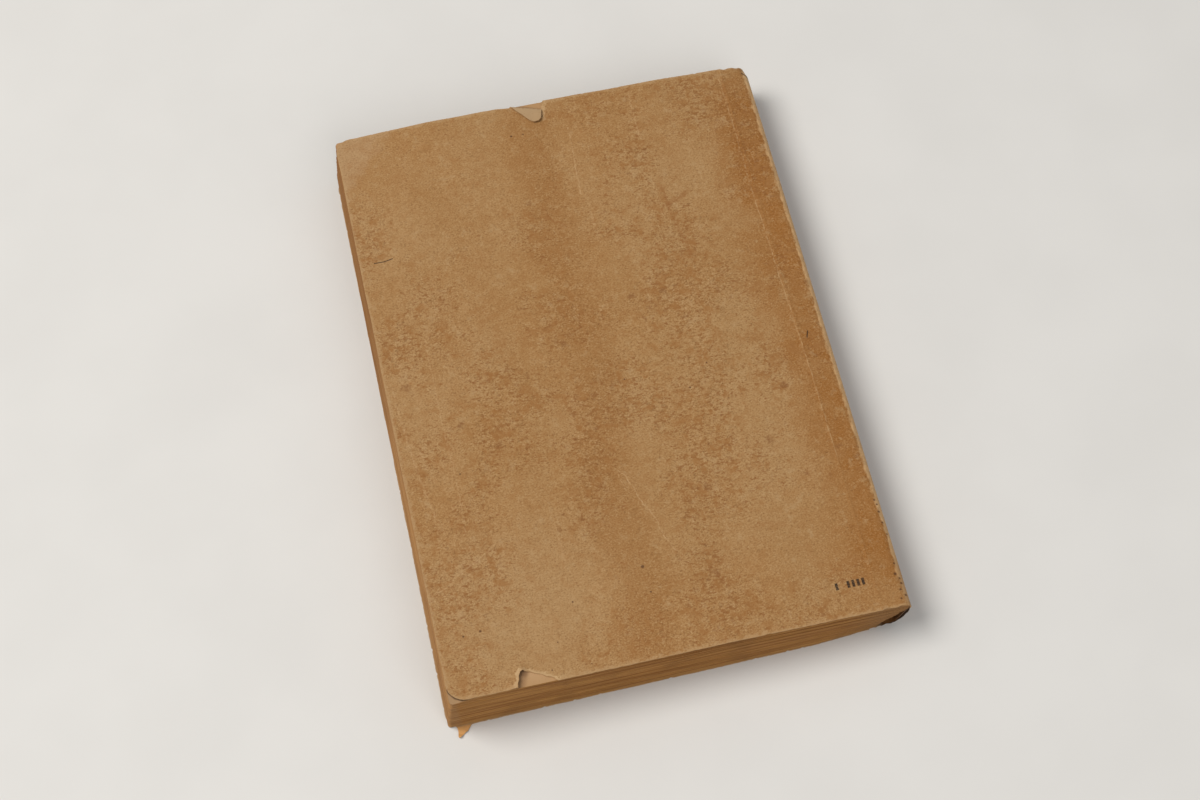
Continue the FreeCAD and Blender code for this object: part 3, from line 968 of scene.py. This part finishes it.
def cover_outside():
    """Old tan card: mottled, foxed, scratched and paler along its worn edges, with painted highlight on the
    spine rim and the notch's lip and painted shade in the tail hollow.
    """
    mat = Surface("aged_cover_card")
    place = mat.attribute("book")
    edge = mat.attribute("edge", "Fac")
    plan = mat.vector("MULTIPLY", place, (1, 1, 0))
    u, v, z = mat.axes(place)
    on_top = mat.ramp(z, SPINE_RADIUS + 8, SPINE_RADIUS + 11)

    def draw(lines, at, *screen_colour):
        for points, width, strength in lines:
            mat.tint(screen_colour, mat.line(at, points, width), on_top, strength)

    body_colour(mat, place, u, v)

    density = mat.ramp(mat.noise(place, 26, 3, 0.6), 0.34, 0.66, 0.15, 1)
    calm = mat.highest([mat.spot(place, (40, 190), 62, 0.2), mat.spot(place, (42, 22), 48, 0.2)])
    density = mat.times(density, mat.minus(1, mat.times(calm, 0.75)))
    busy = mat.highest([mat.spot(place, (106, 104), 52, 0.2), mat.spot(place, (34, 98), 34, 0.2)])
    density = mat.plus(density, mat.times(busy, 0.35))
    fibres(mat, place, u, density)

    large = mat.dots(mat.shifted(place, 1.5, 0.5), 5.0, 0.55, 0.17)
    mat.tint((134, 88, 46), large, mat.ramp(density, 0.1, 0.8), 0.62)
    small = mat.dots(mat.shifted(place, 0.8, 0.4), 2.3, 0.45, 0.26)
    mat.tint((120, 76, 38), small, mat.ramp(density, 0.3, 1.0), 0.5)

    rough_edge = mat.shifted(plan, 1.4, 0.7)
    marks = mat.highest(mat.spot(rough_edge, centre, radius, 0.25) for *centre, radius in FOXING)
    crumbs = mat.ramp(mat.noise(plan, 1.1, 3, 0.7), 0.36, 0.58, 0.25, 1)
    mat.tint((124, 79, 40), marks, on_top, crumbs, 0.68)
    draw(BROWN_STREAKS, rough_edge, 138, 88, 42)

    broken = mat.ramp(mat.noise(plan, 2, 4, 0.7), 0.4, 0.62, 0.1, 1)
    wandering = mat.shifted(plan, 3, 0.35)
    scratches = mat.highest(
        mat.times(mat.line(wandering, points, width), strength) for points, width, strength in PALE_LINES
    )
    crease = mat.times(mat.line(mat.shifted(plan, 6, 0.25), CREASE_MARK, 0.6), 0.42)
    mat.tint((196, 160, 116), mat.highest([scratches, crease]), broken, on_top)

    # Worn rim where the back cover turns into the spine: paler from rubbing, and made paler still as a
    # painted highlight where the rounding turns away from the light
    uneven = mat.noise(mat.vector("MULTIPLY", place, (1, 0.6, 1)), 2.2, 4, 0.65)
    uneven = mat.ramp(uneven, 0.25, 0.75, -0.6, 0.6)
    narrow = mat.minus(u, mat.ramp(v, 110, 50, 0, 0.2))
    rim = mat.ramp(mat.plus(narrow, uneven), 145.7, 146.7)
    rim = mat.times(rim, mat.ramp(mat.plus(z, mat.times(uneven, 2)), 12.4, 16))
    fading = mat.ramp(v, 6, 24, 0.45, 1)
    fading = mat.times(fading, mat.ramp(mat.noise(place, 7, 3, 0.6), 0.3, 0.6, 0.75, 1))
    mat.tint((210, 168, 118), rim, fading, 0.92)
    # Pale torn rims, with a painted highlight on the notch's raised left lip.
    draw(TORN_RIMS_AND_LIP_HIGHLIGHT, rough_edge, 200, 166, 122)

    ragged_edge = mat.plus(edge, mat.ramp(mat.noise(place, 1.6, 3, 0.6), 0.3, 0.7, -0.55, 0.75))
    mat.tint((176, 141, 99), mat.ramp(ragged_edge, 1.4, 0.2, 0, 0.6))

    draw(DARK_LINES, plan, 62, 44, 30)
    for *centre, radius in SPECKS:
        mat.tint((84, 52, 30), mat.spot(plan, centre, radius, 0.4), on_top, 0.8)

    tall = mat.band(v, INK_BASE + INK_TALL / 2, INK_TALL)
    ink = mat.highest(mat.band(u, start + INK_WIDE / 2, INK_WIDE) for start in INK_BARS)
    patchy = mat.ramp(mat.noise(place, 0.35), 0.3, 0.55, 0.6, 1)
    mat.tint((40, 30, 22), ink, tall, on_top, patchy, 0.95)

    # Dirt and painted shade in the hollow at the tail.
    mat.tint((66, 42, 24), hollow_dirt_and_shade(mat, u, v, z, 2.5), 0.8)

    grain = mat.noise(place, 0.35, 3, 0.6)
    lumps = mat.noise(place, 2.6, 3, 0.55)
    return mat.finish(mat.plus(grain, mat.times(lumps, 1.6)), 0.04, 0.78)


def cover_inside():
    """The unprinted inner face of the card, greyer than the outside."""
    mat = Surface("card_inner_face")
    place = mat.attribute("book")
    mat.base(mat.ramp(mat.noise(place, 30, 3), 0.35, 0.65), (176, 146, 110), (168, 136, 98))
    mat.tint((146, 113, 76), mat.ramp(mat.noise(place, 0.8, 3, 0.6), 0.56, 0.72, 0, 0.4))
    u, v, z = mat.axes(place)
    mat.tint((206, 152, 90), mat.ramp(v, 0.6, -0.4, 0, 0.85))
    # Dirt and painted shade in the hollow at the tail.
    mat.tint((58, 36, 20), hollow_dirt_and_shade(mat, u, v, z, 9), 0.9)
    return mat.finish(mat.noise(place, 0.4, 3, 0.6), 0.04, 0.85)


def card_rim():
    """Cut and torn edges of the card, where pale fibres show."""
    mat = Surface("card_cut_edge")
    place = mat.attribute("book")
    mat.base(mat.ramp(mat.noise(place, 3, 3, 0.6), 0.35, 0.65), (184, 149, 106), (156, 115, 70))
    u, v, z = mat.axes(place)
    # Dirt and painted shade in the hollow at the tail.
    mat.tint((58, 36, 20), hollow_dirt_and_shade(mat, u, v, z, 4), 0.9)
    return mat.finish(mat.noise(place, 0.25, 2, 0.6), 0.05, 0.9)


def leaf_edges():
    """Trimmed edges of the leaves: browned, streaked along the leaves, and dirty with painted shade at the
    hollow.
    """
    mat = Surface("browned_leaf_edges")
    place = mat.attribute("book")
    share = mat.attribute("leaf", "Fac")
    u, v, z = mat.axes(place)

    def streaks(along, layers, roughness):
        """Noise drawn out along the leaves."""
        at = mat.point(mat.times(u, along), mat.times(v, along), mat.times(share, layers))
        return mat.noise(at, 1, 3, roughness)

    fine = streaks(0.03, 70, 0.6)
    bundles = streaks(0.012, 22, 0.55)
    mat.base(mat.ramp(bundles, 0.35, 0.65), (177, 129, 71), (144, 97, 49))
    mat.tint((118, 74, 34), mat.ramp(fine, 0.45, 0.75, 0, 0.55))
    mat.tint((206, 158, 98), mat.ramp(fine, 0.48, 0.25, 0, 0.45))
    mat.tint((178, 134, 80), mat.ramp(share, 0.14, 0.02, 0, 0.5))
    fore = mat.ramp(u, 3, 1)
    mat.tint((158, 124, 88), fore, 0.35)
    mat.tint((126, 82, 40), fore, mat.ramp(v, 90, 150), 0.55)
    mat.tint((128, 88, 50), mat.ramp(mat.noise(place, 11, 3), 0.5, 0.7, 0, 0.35))
    dark = hollow_dirt_and_shade(mat, u, v, z, 7)
    mat.tint((144, 108, 70), mat.ramp(u, 124, 141), mat.ramp(v, 8, 2), 0.6)
    # Dirt and painted shade in the hollow at the tail, darkest on the leaf edges.
    mat.tint((46, 29, 16), dark, 0.9)
    return mat.finish(mat.plus(fine, mat.times(mat.noise(place, 0.5), 0.4)), 0.08, 0.88)


def leaf_faces():
    """Face of the outermost leaf, pinkish where the cover kept the light off, with painted shadows by the
    notch, under the flap and in the tail corner's gap.
    """
    mat = Surface("outer_leaf_face")
    place = mat.attribute("book")
    u, v, _ = mat.axes(place)
    mat.base(mat.ramp(mat.noise(place, 34, 3), 0.35, 0.65), (184, 147, 107), (176, 138, 97))
    inwards = mat.math("MINIMUM", mat.math("MINIMUM", u, v), mat.minus(HEIGHT, v))
    inwards = mat.plus(inwards, mat.times(mat.noise(place, 8, 3), 5))
    mat.tint((168, 128, 84), mat.ramp(inwards, 9, 1, 0, 0.55))
    plan = mat.vector("MULTIPLY", place, (1, 1, 0))
    # Painted shadows on the leaf: beside the notch's raised left lip and under the folded flap's edge.
    notch_lip_painted_shadow = mat.line(plan, [(22, -0.5), (23.4, 3), (24.6, 5.2)], 5)
    flap_fold_painted_shadow = mat.line(plan, [(61.5, 210.1), (67, 208.5), (73, 206.2)], 2.4)
    mat.tint((122, 88, 58), mat.highest([notch_lip_painted_shadow, flap_fold_painted_shadow]), 0.5)
    mat.tint((148, 120, 88), mat.spot(plan, (0, 0), 9, 0.1), 0.6)
    # Painted shadow in the gap under the cover's rounded tail corner.
    gap = mat.line(plan, [(-0.4, 7), (0.7, 4), (2.2, 2), (4.4, 0.8), (8.5, 0.2)], 1.6)
    mat.tint((76, 52, 32), gap, 0.8)
    # Painted shadow at the notch's apex, under the raised lip.
    mat.tint((96, 66, 42), mat.spot(plan, (24.3, 4.7), 2, 0.2), 0.5)
    mat.tint((150, 112, 72), mat.ramp(mat.noise(place, 0.8, 3, 0.6), 0.58, 0.72, 0, 0.3))
    return mat.finish(mat.noise(place, 0.4, 3, 0.6), 0.03, 0.85)


def glue_material():
    """Old amber glue."""
    mat = Surface("old_binding_glue")
    place = mat.attribute("book")
    mat.base(mat.ramp(mat.noise(place, 2.5, 3, 0.6), 0.35, 0.65), (122, 80, 40), (92, 58, 29))
    return mat.finish(mat.noise(place, 0.8, 3), 0.08, 0.5)


def floor_material():
    """Plain pale floor, with its noise in metres."""
    mat = Surface("pale_floor")
    place = mat.node("TexCoord").outputs["Object"]
    mat.base(mat.ramp(mat.noise(place, 0.05, 3), 0.3, 0.7), (216, 213, 208), (219, 216, 211))
    return mat.finish(mat.noise(place, 0.002), 0.02, 0.9, 0.2)


# Floor, light and camera

# Place, lens and sensor in millimetres, angles in degrees
CAMERA_AT = (-48.15, -323.37, 665.19)
CAMERA_AZIMUTH = -8.007
CAMERA_ELEVATION = 63.938
CAMERA_ROLL = -5.277
CAMERA_LENS = 65.436
SENSOR = 36.0


def stage():
    mesh = bpy.data.meshes.new("floor")
    reach = 3.0
    corners = [(-reach, -reach, 0), (reach, -reach, 0), (reach, reach, 0), (-reach, reach, 0)]
    mesh.from_pydata(corners, [], [(0, 1, 2, 3)])
    mesh.materials.append(floor_material())
    floor = placed("floor", mesh)


def area_light(name, place, size, watts, colour):
    """Round lamp that shines on the book. The place and size are in metres."""
    data = bpy.data.lights.new(name, "AREA")
    data.shape = "DISK"
    data.size = size
    data.energy = watts
    data.color = colour
    lamp = placed(name, data)
    lamp.location = place
    lamp.rotation_mode = "QUATERNION"
    lamp.rotation_quaternion = (-Vector(place)).to_track_quat("-Z", "Y")


def lights():
    area_light("key", (-1.3, 0.4, 2.2), size=1.5, watts=50.0, colour=(1.0, 0.985, 0.96))
    area_light("fill", (0.4, -1.8, 1.6), size=1.6, watts=16.0, colour=(0.99, 0.99, 1.0))
    world = bpy.data.worlds.new("studio")
    world.use_nodes = True
    background = world.node_tree.nodes["Background"]
    background.inputs["Color"].default_value = (0.96, 0.98, 1.0, 1.0)
    background.inputs["Strength"].default_value = 0.32
    bpy.context.scene.world = world


def camera():
    data = bpy.data.cameras.new("camera")
    data.lens = CAMERA_LENS
    data.sensor_width = SENSOR
    azimuth = math.radians(CAMERA_AZIMUTH)
    elevation = math.radians(CAMERA_ELEVATION)
    flat = math.cos(elevation)
    forward = Vector((-math.sin(azimuth) * flat, math.cos(azimuth) * flat, -math.sin(elevation)))
    seen = placed("camera", data)
    seen.location = Vector(CAMERA_AT) * MM
    seen.rotation_mode = "QUATERNION"
    roll = Quaternion((0, 0, 1), math.radians(CAMERA_ROLL))
    seen.rotation_quaternion = forward.to_track_quat("-Z", "Y") @ roll
    data.clip_start = 0.01
    data.clip_end = 50
    bpy.context.scene.camera = seen


def hinge_zone(hinge):
    """Start and end of the stretch of card that bends at a hinge."""
    bend = 4.0
    start = hinges[hinge] * MM
    return tuple(start), tuple(start - np.array([bend, 0, 0]) * MM)


def build():
    card = [cover_outside(), cover_inside(), card_rim()]
    back = back_cover_piece(card)
    start, end = hinge_zone("back_cover_hinge")
    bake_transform(back)
    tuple(start)
    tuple(end)
    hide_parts("back_cover")
    front = front_cover_piece(card)
    start, end = hinge_zone("front_cover_hinge")
    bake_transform(front)
    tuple(start)
    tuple(end)
    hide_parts("front_cover")
    spine = wrapped_piece("spine_card", 0, CARD, BACK_CREASE, FRONT_CREASE, 0, 1, card)
    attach(spine, "book_block")
    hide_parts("spine")
    layer = [CARD, CARD + GLUE, GLUE_START, GLUE_START - LEAN, PAGE_INSET, 0]
    glue = wrapped_piece("binding_glue", *layer, [glue_material()])
    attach(glue, "book_block")
    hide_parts("spine_glue")
    leaves = leaves_piece([leaf_edges(), leaf_faces()])
    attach(leaves, "book_block")
    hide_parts("page_block")


build()
stage()
lights()
camera()
bpy.context.scene.view_settings.view_transform = "Standard"
